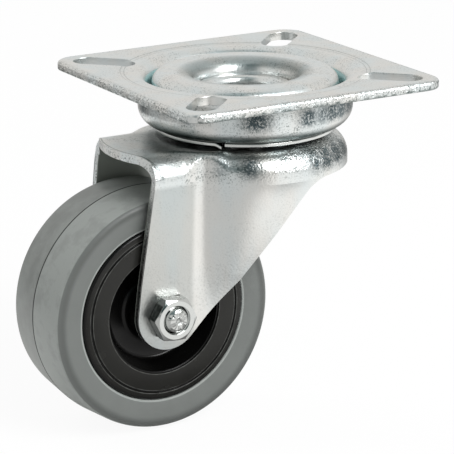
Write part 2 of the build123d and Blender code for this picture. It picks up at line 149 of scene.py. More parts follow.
@dataclass
class Graph:
    """A node tree with short ways to add to it, in millimetres."""

    tree: bpy.types.NodeTree
    place: str = "Object"
    scale: float = 1 / MM

    def node(self, kind: str, inputs: dict[str | int, object], **settings: str) -> Node:
        """Adds a node and feeds its inputs.

        Args:
            kind: the node's type.
            inputs: a value, a socket or a node for each input's name or index.
            settings: the node's own settings.

        Returns:
            The new node.
        """
        made = self.tree.nodes.new(f"ShaderNode{kind}")
        for name, setting in settings.items():
            setattr(made, name, setting)
        for key, value in inputs.items():
            self.feed(made, key, value)
        return made

    def feed(self, node: Node, key: str | int, value: object) -> None:
        """Sets one input of a node, or links an output to it.

        Args:
            node: the node that is fed.
            key: the input's name or index.
            value: a plain value, a colour, an output socket or a node with one output.
        """
        socket = node.inputs[key]
        if isinstance(value, Node):
            value = value.outputs[0]
        if isinstance(value, Socket):
            self.tree.links.new(value, socket)
        else:
            socket.default_value = (*value, 1) if socket.type == "RGBA" else value

    def maths(self, operation: str, *values: Value) -> Socket:
        """Returns the result of a Math node on these values."""
        return self.node("Math", dict(enumerate(values)), operation=operation).outputs[0]

    def product(self, *values: Value) -> Socket:
        """Multiplies values together."""
        return reduce(lambda first, second: self.maths("MULTIPLY", first, second), values)

    def largest(self, *values: Value) -> Socket:
        """Returns the largest of some values."""
        return reduce(lambda first, second: self.maths("MAXIMUM", first, second), values)

    def total(self, first: Value, second: Value) -> Socket:
        """Adds two values."""
        return self.maths("ADD", first, second)

    def less(self, first: Value, second: Value) -> Socket:
        """Takes the second value from the first."""
        return self.maths("SUBTRACT", first, second)

    def size(self, value: Value) -> Socket:
        """Returns a value without its sign."""
        return self.maths("ABSOLUTE", value)

    def apart(self, first: Value, second: Value) -> Socket:
        """Returns how far two values are apart."""
        return self.size(self.less(first, second))

    def length(self, first: Value, second: Value) -> Socket:
        """Returns the length of a vector, from its two parts."""
        squares = (self.product(part, part) for part in (first, second))
        return self.maths("SQRT", self.total(*squares))

    def xyz(self) -> tuple[Socket, ...]:
        """Returns the X, Y and Z of the point."""
        place = self.node("TexCoord", {}).outputs[self.place]
        scaled = self.node("VectorMath", {0: place, 1: (self.scale,) * 3}, operation="MULTIPLY")
        return tuple(self.node("SeparateXYZ", {0: scaled}).outputs)

    def measure(self, by: By) -> Socket:
        """Measures the point.

        Args:
            by: what it is measured by.

        Returns:
            The measure's socket.
        """
        x, y, z = self.xyz()
        across, _, up = AXLE.centre
        ways = {
            By.X: lambda: x,
            By.Z: lambda: z,
            By.SIDE: lambda: self.size(y),
            By.REACH: lambda: self.length(x, y),
            By.OUT: lambda: self.length(self.less(x, across), self.less(z, up)),
            By.FAR: lambda: self.largest(self.size(x), self.size(y)),
            By.ASIDE: lambda: self.product(self.apart(self.size(x), self.size(y)), SLANT),
            By.LIP: lambda: self.length(self.less(x, LIP_MIDDLE), y),
            By.DEPTH: lambda: self.less(self.span(z, *FORK_SIDE, "LINEAR"), self.size(y)),
            By.ANGLE: lambda: self.maths("DEGREES", self.maths("ARCTAN2", x, self.less(0.0, y))),
        }
        return ways[by]()

    def masked(self, masks: Masks) -> Value:
        """Finds a part of a surface.

        Args:
            masks: the limits of each area that it takes in.

        Returns:
            1 inside any of the areas and 0 elsewhere.
        """
        areas = []
        for mask in masks:
            shares = []
            for limit in mask:
                ends = sorted(((limit.least_at, limit.least), (limit.full_at, 1.0)))
                (low, to_low), (high, to_high) = ends
                value = self.measure(limit.by)
                shares.append(self.span(value, low, high, to_low, to_high, limit.way))
            areas.append(self.product(*shares))
        return self.largest(*areas) if areas else 0.0

    def noise(self, grain: float, detail: float, weight: float, finer: Point = (1, 1, 1)) -> Socket:
        """Adds noise of a given grain.

        Args:
            grain: size of one grain.
            detail: number of octaves beyond the first.
            weight: weight of each finer octave.
            finer: how much finer the grain is along X, Y and Z.

        Returns:
            The noise's value, about 0.5 on average.
        """
        place = self.node("TexCoord", {}).outputs[self.place]
        place = self.node("Mapping", {"Vector": place, "Scale": finer})
        inputs = {"Vector": place, "Scale": self.scale / grain, "Detail": detail}
        return self.node("TexNoise", {**inputs, "Roughness": weight}).outputs["Fac"]

    def span(
        self, value: Value, low: float, high: float,
        to_low: float = 0.0, to_high: float = 1.0, way: str = "SMOOTHSTEP",
    ) -> Socket:
        """Maps a range onto another.

        Args:
            value: what is mapped.
            low: start of the range.
            high: end of the range.
            to_low: result at the start and before it.
            to_high: result at the end and beyond it.
            way: how it goes from one result to the other.

        Returns:
            The result's socket.
        """
        inputs = dict(enumerate((value, low, high, to_low, to_high)))
        return self.node("MapRange", inputs, interpolation_type=way).outputs[0]

    def vary(self, noise: Socket, least: float, most: float) -> Socket:
        """Maps noise, most of which is between 0.3 and 0.7, onto a range."""
        return self.span(noise, 0.3, 0.7, least, most)

    def mottle(self, grain: Grain, ramp: Ramp) -> Socket:
        """Adds noise and maps it onto a range."""
        return self.span(self.noise(*grain), *ramp)

    def patches(self, places: tuple[Patch, ...], fade: Pair) -> Socket:
        """Finds patches that lie round the swivel axis.

        Args:
            places: the patches.
            fade: where a patch starts to fade and ends, as shares of its half width.

        Returns:
            The strength of the strongest patch there.
        """
        angle, found = self.measure(By.ANGLE), []
        for middle, half, strength in places:
            start, end = (half * share for share in fade)
            found.append(self.span(self.apart(angle, middle), start, end, strength, 0))
        return self.largest(*found)

    def blend(self, share: Value, first: Colour | Socket, second: Colour | Socket) -> Socket:
        """Mixes two colours, by the share of the second."""
        return self.node("Mix", {0: share, 6: first, 7: second}, data_type="RGBA").outputs[2]

    def between(self, share: Value, first: Value, second: Value) -> Value:
        """Mixes two numbers.

        Args:
            share: how much of the second, from 0 to 1.
            first: the first number.
            second: the second number.

        Returns:
            The mixed number, a plain one where all three are plain.
        """
        if not any(isinstance(value, Socket) for value in (share, first, second)):
            return first + (second - first) * share
        return self.node("Mix", {0: share, 2: first, 3: second}).outputs[0]

    def bump(self, height: Socket, depth: float = 1.0) -> Socket:
        """Returns the normal of a bump, from its height and the depth of a height of 1."""
        inputs = {"Height": height, "Strength": 1.0, "Distance": depth * MM}
        return self.node("Bump", inputs).outputs["Normal"]


@dataclass(frozen=True)
class Finish:
    """A surface finish: the values that its material is made from, in millimetres."""

    name: str
    colour: Colour
    roughness: float
    unevenness: Pair = (1.0, 1.0)

    def material(self) -> bpy.types.Material:
        """Makes the material of this finish.

        Returns:
            The new material.
        """
        made = bpy.data.materials.new(self.name)
        made.use_nodes = True
        graph = Graph(made.node_tree)
        plain = {"Base Color": self.colour, "Roughness": self.roughness}
        for looks in (plain, self.looks(graph)):
            for name, value in looks.items():
                graph.feed(made.node_tree.nodes["Principled BSDF"], name, value)
        return made

    def uneven(self, graph: Graph, noise: Socket) -> Socket:
        """Returns a roughness that follows some noise."""
        return graph.vary(noise, *(self.roughness * share for share in self.unevenness))

    def looks(self, graph: Graph) -> dict[str, object]:
        """Returns what its pattern feeds to the shader's inputs, by name."""
        return {}


@dataclass(frozen=True)
class ZincPlating(Finish):
    """Bright zinc plating on pressed steel, faintly tinted and rough on cut edges."""

    unevenness: Pair = (1.0, 1.15)
    cool: Colour = (0.695, 0.745, 0.755)
    warm: Colour = (0.750, 0.745, 0.722)
    tint: Grain = (7, 2, 0.5)
    streak: Point = (1, 1, 0.22)
    specks: Mottle = ((0.4, 3, 0.7), (0.33, 0.5, 0, 1))
    clusters: Mottle = ((8, 2, 0.6), (0.42, 0.62, 0.35, 1.15))
    flat_speck: float = 0.6
    bend_speck: float = 0.35
    edge_speck: float = 0.18
    wave: Grain = (3.6, 2, 0.5)
    grain: Grain = (0.4, 1, 0.4)
    grain_depth: float = 0.022
    bend_depth: float = 0.05
    edges: Masks = ()
    edge_grain: Grain = (0.52, 2, 0.6)
    edge_depth: float = 0.22
    edge_shade: float = 0.8
    nicks: Mottle = ((0.4, 3, 0.7), (0.36, 0.48, 0.5, 1))
    bends: Masks = ()
    even_bend: float = 0.4
    inside: Masks = ()
    # Painted light on the inner skin: a colour and metalness in place of the plating, painted shade
    # on the fork and a painted teal reflection in the plate's bowl.
    inner_painted_light_colour: Colour = (0.22, 0.24, 0.215)
    inner_metal: float = 0.15
    # Painted shade over the whole colour; 1 leaves the colour as it is.
    brightness: float = 1.0
    # Painted light and shade: brightnesses on masked areas, multiplied into the colour.
    painted_shades: Shades = ()
    shade_colour: Colour = (0.035, 0.065, 0.060)
    dull: Masks = ()
    dullness: float = 0.36
    swell: Pair = (0, 1)
    swell_height: float = 0.0
    # Painted dark reflections: blue-black patches round a wall that stand in for reflections of
    # dark surroundings.
    painted_dark_reflections: tuple[Patch, ...] = ()
    dark_reflection_fade: Pair = (0, 1.5)
    dark_reflection_band: Masks = ()
    dark_reflection_grain: Mottle = ((0.48, 3, 0.75), (0.37, 0.54, 0.2, 1.3))
    dark_reflection_colour: Colour = (0.10, 0.13, 0.142)

    def inner_share(self, graph: Graph, edge: Value) -> Value:
        """Returns 1 on the inner skin and 0 on the outer one."""
        return graph.masked(self.inside)

    def edge_light(self, graph: Graph) -> Value:
        """Returns how bright the cut edges are."""
        return 1.0

    def painted_reflection_share(self, graph: Graph) -> Value:
        """Finds the painted blue-black reflections of dark surroundings round a wall.

        Args:
            graph: its nodes.

        Returns:
            How strong the painted reflection is, from 0 to 1.
        """
        if not self.painted_dark_reflections:
            return 0.0
        dark_reflection = graph.patches(self.painted_dark_reflections, self.dark_reflection_fade)
        return graph.product(dark_reflection, graph.masked(self.dark_reflection_band), graph.mottle(*self.dark_reflection_grain))

    def looks(self, graph: Graph) -> dict[str, object]:
        """Adds the tint, the specks, the painted dark reflections, the painted light and shade, the
        grain and the uneven gloss.

        Args:
            graph: its nodes.

        Returns:
            The shader's inputs, by name.
        """
        edge = graph.masked(self.edges)
        bend = graph.masked(self.bends) if self.bends else self.even_bend
        inner = self.inner_share(graph, edge)
        tint = graph.vary(graph.noise(*self.tint, self.streak), 0, 1)
        colour = graph.blend(tint, self.cool, self.warm)
        # Painted dark reflections blended into the colour.
        colour = graph.blend(self.painted_reflection_share(graph), colour, self.dark_reflection_colour)
        least = graph.between(bend, self.flat_speck, self.bend_speck)
        specks = graph.less(1.0, graph.mottle(*self.specks))
        specks = graph.less(1.0, graph.product(specks, graph.mottle(*self.clusters)))
        shade = graph.product(
            graph.between(specks, graph.between(edge, least, self.edge_speck), 1.0),
            graph.between(edge, self.brightness, self.brightness * self.edge_shade),
            graph.between(edge, 1.0, self.edge_light(graph)),
            # painted light and shade on the masked areas
            *(graph.between(graph.masked(masks), 1.0, shade) for shade, masks in self.painted_shades),
        )
        colour = graph.blend(shade, self.shade_colour, colour)
        wave = graph.noise(*self.wave)
        rough = self.uneven(graph, wave)
        if self.dull:
            rough = graph.total(rough, graph.product(graph.masked(self.dull), self.dullness))
        grain = graph.total(graph.noise(*self.grain), wave)
        height = graph.product(grain, graph.between(bend, self.grain_depth, self.bend_depth))
        if self.edges:
            cut = graph.product(graph.noise(*self.edge_grain), edge, self.edge_depth)
            up = graph.span(graph.measure(By.Z), *self.swell, 0, 1, "LINEAR")
            cut = graph.total(cut, graph.product(up, up, self.swell_height))
            height = graph.total(height, cut)
        return {
            # The inner skin takes its painted light colour.
            "Base Color": graph.blend(inner, colour, self.inner_painted_light_colour),
            "Metallic": graph.between(inner, 1.0, self.inner_metal),
            "Roughness": rough,
            "Normal": graph.bump(height),
        }


@dataclass(frozen=True)
class CapPlating(ZincPlating):
    """Plating of the race cap and the rivet, with painted shade and a duller gloss in the funnel
    round the neck.
    """

    funnel: Limit = Limit(By.REACH, 14.5, 11.3, way="LINEAR")
    # Painted shade in the funnel round the neck, darkest just outside it and fading out towards the
    # rim.
    painted_shades: Shades = ((0.42, ((Limit(By.REACH, 10.4, 10.9), funnel),)),)
    dull: Masks = ((Limit(By.REACH, 10.8, 11.3), funnel),)


@dataclass(frozen=True)
class PlatePlating(ZincPlating):
    """Plating of the top plate, with painted dark reflections round its bowl, painted light and
    shade on its bowl, bead lines and slot walls, and ragged along its cut edge under a painted
    highlight.
    """

    edges: Masks = ((Limit(By.FAR, 28.9, 29.3),),)
    bends: Masks = ((Limit(By.Z, -2, -3),),)
    # Painted reflection: the bowl's inner wall is painted teal and less metallic, standing in for
    # light bouncing inside the recess.
    inside: Masks = ((Limit(By.Z, -7, -6), Limit(By.Z, -0.5, -1.1), Limit(By.REACH, 20.8, 20.6)),)
    inner_painted_light_colour: Colour = (0.27, 0.47, 0.47)
    # Painted shade: the bowl darkens towards its foot, where it stands over the crown.
    painted_shade_at_bowl_foot: Masks = ((Limit(By.Z, -8.2, -9.9),),)
    # Painted shade: two thin dark lines round the bead on the plate's face.
    painted_bead_shade_lines: Masks = tuple(
        (
            Limit(By.Z, -1.3, -1.1),
            Limit(By.REACH, line - 0.16, line - 0.04), Limit(By.REACH, line + 0.16, line + 0.04),
        )
        for line in (25.0, 25.75)
    )
    # Painted light: the slots' walls are painted brighter than the plating.
    painted_light_slot_wall: Mask = (
        Limit(By.Z, -1.75, -1.65), Limit(By.Z, -0.1, -0.3),
        Limit(By.REACH, 23, 23.4), Limit(By.FAR, 28.8, 28.6), Limit(By.ASIDE, 3.4, 3.3),
    )
    painted_shades: Shades = ((0.2, painted_shade_at_bowl_foot), (0.7, painted_bead_shade_lines), (1.3, (painted_light_slot_wall,)))
    burr: Grain = (1.1, 3, 0.6)
    burr_wave: float = 2.2
    # Dark along the burr at the bottom of the cut edge; the lighter part above the ragged line is a
    # painted highlight, brighter than the plating's own colour.
    burr_and_painted_highlight: Ramp = (-1.8, -0.99, 0.38, 1.25)
    swell: Pair = (-7.2, -2.2)
    swell_height: float = -0.78
    # Painted dark reflections round the bowl's wall, by angle round the swivel axis.
    painted_dark_reflections: tuple[Patch, ...] = (
        (-25, 9, 0.95), (4, 7, 0.9), (14, 6, 0.7), (22, 8, 1.0), (31, 8, 1.1), (42, 9, 1.1),
        (54, 8, 1.0), (-62, 5, 0.45), (95, 6, 0.6), (121, 9, 0.7), (160, 5, 0.6),
        (-100, 8, 0.7), (-133, 5, 0.5), (-160, 9, 0.7),
    )
    dark_reflection_band: Masks = (
        (Limit(By.Z, -8.63, -6.53), Limit(By.Z, -3.17, -5.27), Limit(By.REACH, 20.0, 20.2)),
    )

    def edge_light(self, graph: Graph) -> Value:
        """Finds how bright the cut edge is, dark below its ragged line and with a painted highlight
        above it.

        Args:
            graph: its nodes.

        Returns:
            The share of its own brightness.
        """
        wave = graph.less(graph.noise(*self.burr), 0.5)
        height = graph.total(graph.measure(By.Z), graph.product(wave, self.burr_wave))
        return graph.product(graph.span(height, *self.burr_and_painted_highlight), graph.mottle(*self.nicks))


@dataclass(frozen=True)
class ForkPlating(ZincPlating):
    """Plating of the fork, with painted highlights on its cut edges, painted dark reflections round
    its crown, and painted shade on its legs, under the bowl and on its inner skin.
    """

    flat_speck: float = 0.84
    on_lip: Limit = Limit(By.Z, -17.0, -16.8)
    in_front: Limit = Limit(By.X, -17, -18)
    rim: Mask = (Limit(By.LIP, 20.95, 21.05), on_lip)
    # Painted shade: a thin dark line along the top of the lip just inside its cut edge.
    painted_rim_shade_line: Mask = (Limit(By.LIP, 20.53, 20.63), Limit(By.LIP, 20.93, 20.83), on_lip, in_front)
    leg_edge: Mask = (
        Limit(By.DEPTH, 0.25, 0.35), Limit(By.DEPTH, 1.5, 1.4),
        Limit(By.Z, -16.6, -16.8), in_front,
    )
    edges: Masks = (rim, leg_edge)
    # Painted highlights on the cut edges, in patches, brighter than the plating's own colour.
    painted_edge_highlights: Mottle = ((3.2, 2, 0.6), (0.38, 0.62, 1.15, 2.1))
    bends: Masks = ((Limit(By.Z, -20.0, -17.2),),)
    bend_radius: float = 5.05
    skin: float = 0.9
    skin_soft: float = 0.05
    crown_top: float = -12.6
    crown_radius: float = 21.2
    wing: Masks = ((Limit(By.X, -14.0, -14.2),),)
    # Painted shade on the legs' flat faces: the whole fork is darkened by this brightness and
    # brightened back everywhere off the legs.
    brightness: float = 0.71
    off_painted_leg_shade: Masks = ((Limit(By.X, -20.2, -18.8),), (Limit(By.Z, -19.2, -18.0),))
    # Painted shade on the crown's top near the bowl, darker towards the swivel axis, where the bowl
    # shades it.
    painted_shade_under_bowl: Mask = (
        Limit(By.Z, -13.1, -12.7), Limit(By.SIDE, 10.5, 6, 0.1),
        Limit(By.REACH, 31.2, 19.7, way="LINEAR"),
    )
    painted_shades: Shades = ((1 / brightness, off_painted_leg_shade), (0.3, (painted_shade_under_bowl,)), (0.45, (painted_rim_shade_line,)))
    swell: Pair = (-48.0, -39.0)
    swell_height: float = 0.28
    # Painted dark reflections round the crown's shoulder, by angle round the swivel axis.
    painted_dark_reflections: tuple[Patch, ...] = (
        (-28, 7, 0.75), (13, 6, 0.8), (22, 8, 0.95), (34, 9, 0.95), (46, 8, 0.85),
        (84, 9, 0.6), (112, 6, 0.5), (-45, 5, 0.4), (-175, 9, 0.5),
    )
    dark_reflection_band: Masks = (
        (Limit(By.Z, -18.995, -16.345), Limit(By.Z, -12.105, -14.755), Limit(By.REACH, 13.5, 13.7)),
    )

    def edge_light(self, graph: Graph) -> Value:
        """Returns how bright the cut edges are: painted highlights in patches, with dark nicks."""
        return graph.product(graph.mottle(*self.painted_edge_highlights), graph.mottle(*self.nicks))

    # Painted shade: the inner skin found here is given a dull grey-green, less metallic colour in
    # place of the plating.
    def inner_share(self, graph: Graph, edge: Value) -> Value:
        """Finds the inner skin, inside the middle of walls that bend over into the crown.

        Args:
            graph: its nodes.
            edge: 1 on the cut edges, which are left out.

        Returns:
            1 on the inner skin and 0 elsewhere.
        """
        middle = self.bend_radius - self.skin
        limits = (middle - self.skin_soft, middle + self.skin_soft, 1, 0)
        up = graph.less(graph.measure(By.Z), self.crown_top - self.bend_radius)
        past_crown = graph.less(graph.measure(By.REACH), self.crown_radius - self.bend_radius)
        past_side = graph.less(self.bend_radius, graph.measure(By.DEPTH))
        crown, side = (
            graph.span(graph.length(graph.largest(past, 0.0), graph.largest(up, 0.0)), *limits)
            for past in (past_crown, past_side)
        )
        plan = graph.largest(crown, graph.masked(self.wing))
        return graph.product(side, plan, graph.less(1.0, edge))


@dataclass(frozen=True)
class BrightSteel(Finish):
    """Bright plating on turned, rolled and drawn steel."""

    unevenness: Pair = (0.7, 1.4)
    grain: Grain = (0.35, 3, 0.6)
    grain_depth: float = 0.003

    def looks(self, graph: Graph) -> dict[str, object]:
        """Adds a faint grain and uneven gloss.

        Args:
            graph: its nodes.

        Returns:
            The shader's inputs, by name.
        """
        grain = graph.noise(*self.grain)
        return {
            "Metallic": 1.0,
            "Roughness": self.uneven(graph, grain),
            "Normal": graph.bump(grain, self.grain_depth),
        }


@dataclass(frozen=True)
class Fastener(BrightSteel):
    """Bright plating on a nut or a bolt, with painted shade on the flanks below its top."""

    # Painted shade: the flanks below the top are painted near black in streaks.
    painted_shade_flanks: Masks = (
        (Limit(By.OUT, 4.02, 4.12), Limit(By.SIDE, 14.55, 14.45), Limit(By.Z, -42.5, -42.9, 0.1)),
    )
    painted_shade_streak: Mottle = ((1.2, 3, 0.6), (0.35, 0.65, 0.75, 1))
    painted_flank_shade: Colour = (0.05, 0.054, 0.05)

    def looks(self, graph: Graph) -> dict[str, object]:
        """Adds the painted shade of the flanks to the bright plating.

        Args:
            graph: its nodes.

        Returns:
            The shader's inputs, by name.
        """
        flank_shade = graph.product(graph.masked(self.painted_shade_flanks), graph.mottle(*self.painted_shade_streak))
        colour = graph.blend(flank_shade, self.colour, self.painted_flank_shade)
        return {**super().looks(graph), "Base Color": colour}


@dataclass(frozen=True)
class MouldedPlastic(Finish):
    """Black moulded plastic, glossy in its recesses, which stay near black as painted shade, and
    greyer on its flat faces.
    """

    unevenness: Pair = (0.85, 1.15)
    # Painted shade: only the flat faces get the greyer colours below; the recess keeps the near
    # black base colour.
    faces: Masks = ((Limit(By.SIDE, 9.6, 9.85),),)
    face_dark_grey: Colour = (0.0095, 0.0095, 0.0083)
    face_pale_grey: Colour = (0.0114, 0.0114, 0.00996)
    cloud: Grain = (6, 3, 0.5)
    specular: float = 0.28
    # Painted highlights: thin paler lines, in patches, along the edges of the faces.
    painted_highlight_edges: tuple[float, ...] = (12.86, 16.36, 17.0)
    painted_highlight_half: float = 0.13
    painted_highlight_patches: Mottle = ((2.5, 3, 0.6), (0.35, 0.6, 0.25, 1.0))
    painted_highlight_colour: Colour = (0.075, 0.078, 0.073)
    grain: Grain = (0.5, 2, 0.5)
    grain_depth: float = 0.003

    def looks(self, graph: Graph) -> dict[str, object]:
        """Adds the greyer faces, painted highlights along their edges, a faint moulded grain and
        uneven gloss.

        Args:
            graph: its nodes.

        Returns:
            The shader's inputs, by name.
        """
        cloud, out = graph.noise(*self.cloud), graph.measure(By.OUT)
        faces, patchy = graph.masked(self.faces), graph.mottle(*self.painted_highlight_patches)
        face = graph.blend(graph.vary(cloud, 0, 1), self.face_dark_grey, self.face_pale_grey)
        colour = graph.blend(faces, self.colour, face)
        for edge in self.painted_highlight_edges:
            beside = graph.span(graph.apart(out, edge), 0, self.painted_highlight_half, 1, 0)
            colour = graph.blend(graph.product(patchy, beside, faces), colour, self.painted_highlight_colour)
        return {
            "Base Color": colour,
            "Specular IOR Level": self.specular,
            "Roughness": self.uneven(graph, cloud),
            "Normal": graph.bump(graph.noise(*self.grain), self.grain_depth),
        }


@dataclass(frozen=True)
class SatinRubber(Finish):
    """Grey rubber with a satin skin, paler on its tread from wear and a painted sheen, with painted
    shade on its shoulder, a painted highlight at its inner edge and dark in its mould line.
    """

    unevenness: Pair = (0.9, 1.1)
    tread: Masks = ((Limit(By.OUT, 24.05, 24.2),),)
    parting: Masks = ((Limit(By.OUT, 24.05, 24.2), Limit(By.SIDE, 0.25, 0.15)),)
    parting_shade: float = 0.2
    # Wear and painted sheen: the tread is paler, and paler still on its near half, where the sheen
    # is painted.
    wear_and_painted_sheen: Ramp = (-0.2, 0.2, 1.95, 1.42)
    # Painted shade: a darker band round the shoulder between tread and side.
    corner: float = 23.2
    corner_shade: Ramp = (0, 1.3, 0.62, 1)
    # Painted highlight: a pale line at the tyre's inner edge, next to the wheel centre.
    painted_inner_edge_highlight: Ramp = (18.9, 19.0, 2.6, 1)
    cloud: Grain = (5, 4, 0.65)
    cloud_depth: Pair = (0.03, 0.17)
    scuffs: Mottle = ((0.9, 3, 0.7), (0.66, 0.72, 0, 0.35))
    grain: Grain = (0.3, 3, 0.6)
    grain_depth: float = 0.012
    brightest: float = 2.0

    def looks(self, graph: Graph) -> dict[str, object]:
        """Adds wear and a painted sheen on the tread, painted shade on the shoulder, a painted
        highlight at the inner edge, mottling, scuffs, a fine skin and uneven gloss.

        Args:
            graph: its nodes.

        Returns:
            The shader's inputs, by name.
        """
        out, tread = graph.measure(By.OUT), graph.masked(self.tread)
        cloud = graph.noise(*self.cloud)
        # Tread paler from wear and a painted sheen; the product below adds painted shade and
        # highlight.
        wear_and_painted_light = graph.between(tread, 1.0, graph.span(graph.xyz()[1], *self.wear_and_painted_sheen))
        mottle = graph.product(graph.vary(cloud, -1, 1), graph.between(tread, *self.cloud_depth))
        wear_and_painted_light = graph.product(
            graph.between(graph.masked(self.parting), wear_and_painted_light, self.parting_shade),
            graph.span(graph.apart(out, self.corner), *self.corner_shade),
            graph.span(out, *self.painted_inner_edge_highlight),
            graph.total(mottle, 1.0),
        )
        wear_and_painted_light = graph.total(wear_and_painted_light, graph.product(tread, graph.mottle(*self.scuffs)))
        share = graph.product(wear_and_painted_light, 1 / self.brightest)
        pale = tuple(self.brightest * channel for channel in self.colour)
        return {
            "Base Color": graph.blend(share, (0, 0, 0), pale),
            "Roughness": self.uneven(graph, cloud),
            "Normal": graph.bump(graph.noise(*self.grain), self.grain_depth),
        }


PLATING = (0.705, 0.718, 0.708)
PLATING_GLOSS = 0.28
FINISHES: dict[Slot, Finish] = {
    Slot.ZINC_PLATE: CapPlating("bright_zinc_plating", PLATING, PLATING_GLOSS),
    Slot.BRIGHT_STEEL: BrightSteel("bright_steel", (0.62, 0.635, 0.625), 0.12),
    # Painted shade: the balls are coloured far darker than bright steel, so that the gap under the
    # bowl reads dark.
    Slot.BALL_STEEL: BrightSteel(
        "ball_steel", (0.16, 0.165, 0.17), 0.2, grain=(0.6, 3, 0.6), grain_depth=0.0005
    ),
    Slot.HUB_PLASTIC: MouldedPlastic("black_plastic", (0.002, 0.002, 0.0019), 0.24),
    Slot.TYRE_RUBBER: SatinRubber("grey_rubber", (0.136, 0.146, 0.139), 0.45),
}
FASTENER = Fastener("bright_fastener", (0.57, 0.585, 0.575), 0.12)
OWN_PLATING: dict[str, Finish] = {
    "top_plate": PlatePlating("plating_of_the_plate", PLATING, PLATING_GLOSS),
    "fork": ForkPlating("plating_of_the_fork", PLATING, PLATING_GLOSS),
}


def rounded(profile: Profile) -> Outline:
    """Rounds the corners of a closed outline.

    Args:
        profile: its corners.

    Returns:
        The outline's points, each rounded corner as a short arc.
    """
    points: Outline = []
    for index, (out, along, bend) in enumerate(profile):
        if bend == 0:
            points.append((out, along))
            continue
        here = Vector((out, along))
        before = (Vector(profile[index - 1][:2]) - here).normalized()
        after = (Vector(profile[(index + 1) % len(profile)][:2]) - here).normalized()
        half = before.angle(after) / 2
        middle = here + (before + after).normalized() * bend / math.sin(half)
        first = here + before * bend / math.tan(half) - middle
        last = here + after * bend / math.tan(half) - middle
        sweep = math.atan2(first.x * last.y - first.y * last.x, first.dot(last))
        steps = max(2, math.ceil(abs(sweep) / ARC_STEP))
        for step in range(steps + 1):
            angle = sweep * step / steps
            cos, sin = math.cos(angle), math.sin(angle)
            turned = (first.x * cos - first.y * sin, first.x * sin + first.y * cos)
            points.append((middle.x + turned[0], middle.y + turned[1]))
    return points


def mirrored(half: Profile) -> Profile:
    """Adds the other side of an outline, from its corners on the side above 0."""
    return half + [(out, -along, bend) for out, along, bend in reversed(half)]


def settle(name: str) -> Piece:
    """Returns the object just added, named and with its place and turn in its mesh."""
    piece = bpy.context.object
    piece.name = piece.data.name = name
    bpy.ops.object.transform_apply(location=True, rotation=True, scale=True)
    return piece


def weld() -> None:
    """Joins the vertices that lie in one place, in edit mode."""
    bpy.ops.mesh.select_all(action="SELECT")
    bpy.ops.mesh.remove_doubles(threshold=MERGE)


def turn(name: str, axis: Axis, outline: Outline, steps: int, sweep: float = math.tau) -> Piece:
    """Turns a piece: draws one point out round a closed outline, then spins it.

    Args:
        name: the piece's name.
        axis: what it is turned about.
        outline: its points.
        steps: faces round the axis.
        sweep: how far it is spun.

    Returns:
        The new piece, closed, with its faces outwards.
    """
    bpy.ops.object.select_all(action="DESELECT")
    points = [axis.at(*point) for point in outline]
    bpy.ops.mesh.primitive_plane_add(size=MM, location=points[0])
    piece = settle(name)
    bpy.ops.object.mode_set(mode="EDIT")
    bpy.ops.mesh.select_all(action="SELECT")
    bpy.ops.mesh.merge(type="CENTER")
    for before, after in zip(points, points[1:] + points[:1]):
        bpy.ops.mesh.extrude_vertices_move(TRANSFORM_OT_translate={"value": after - before})
    weld()
    centre, along = Vector(axis.centre) * MM, Vector(axis.along)
    bpy.ops.mesh.spin(steps=steps, angle=sweep, center=centre, axis=along)
    weld()
    bpy.ops.mesh.select_all(action="DESELECT")
    if sweep < math.tau:
        bpy.ops.mesh.select_non_manifold()
        bpy.ops.mesh.fill_holes(sides=0)
    bpy.ops.mesh.select_all(action="SELECT")
    bpy.ops.mesh.normals_make_consistent(inside=False)
    bpy.ops.object.mode_set(mode="OBJECT")
    bpy.ops.object.shade_smooth_by_angle(angle=SMOOTH_ANGLE)
    return piece


def select_only(piece: Piece) -> None:
    """Selects a piece and nothing else."""
    bpy.ops.object.select_all(action="DESELECT")
    bpy.context.view_layer.objects.active = piece
    piece.select_set(True)


def choose(piece: Piece, wanted: Callable[[Vector], bool]) -> None:
    """Selects vertices of a piece and goes into edit mode.

    Args:
        piece: the piece.
        wanted: says of a place, in metres, whether its vertex is chosen.
    """
    select_only(piece)
    bpy.ops.object.mode_set(mode="EDIT")
    bpy.ops.mesh.select_mode(type="VERT")
    bpy.ops.mesh.select_all(action="DESELECT")
    bpy.ops.object.mode_set(mode="OBJECT")
    for vertex in piece.data.vertices:
        vertex.select = wanted(vertex.co)
    bpy.ops.object.mode_set(mode="EDIT")


def finish_with(piece: Piece, kind: str, **settings: object) -> None:
    """Adds a modifier to a piece and applies it.

    Args:
        piece: the piece.
        kind: the modifier's type.
        settings: its settings.
    """
    select_only(piece)
    modifier = piece.modifiers.new(kind.lower(), kind)
    for name, value in settings.items():
        setattr(modifier, name, value)
    bpy.ops.object.modifier_apply(modifier=modifier.name)


def combine(piece: Piece, operation: str, tool: Piece) -> None:
    """Cuts a piece with a tool, or down to it, and removes the tool."""
    finish_with(piece, "BOOLEAN", operation=operation, object=tool, solver="EXACT")
    bpy.data.objects.remove(tool)


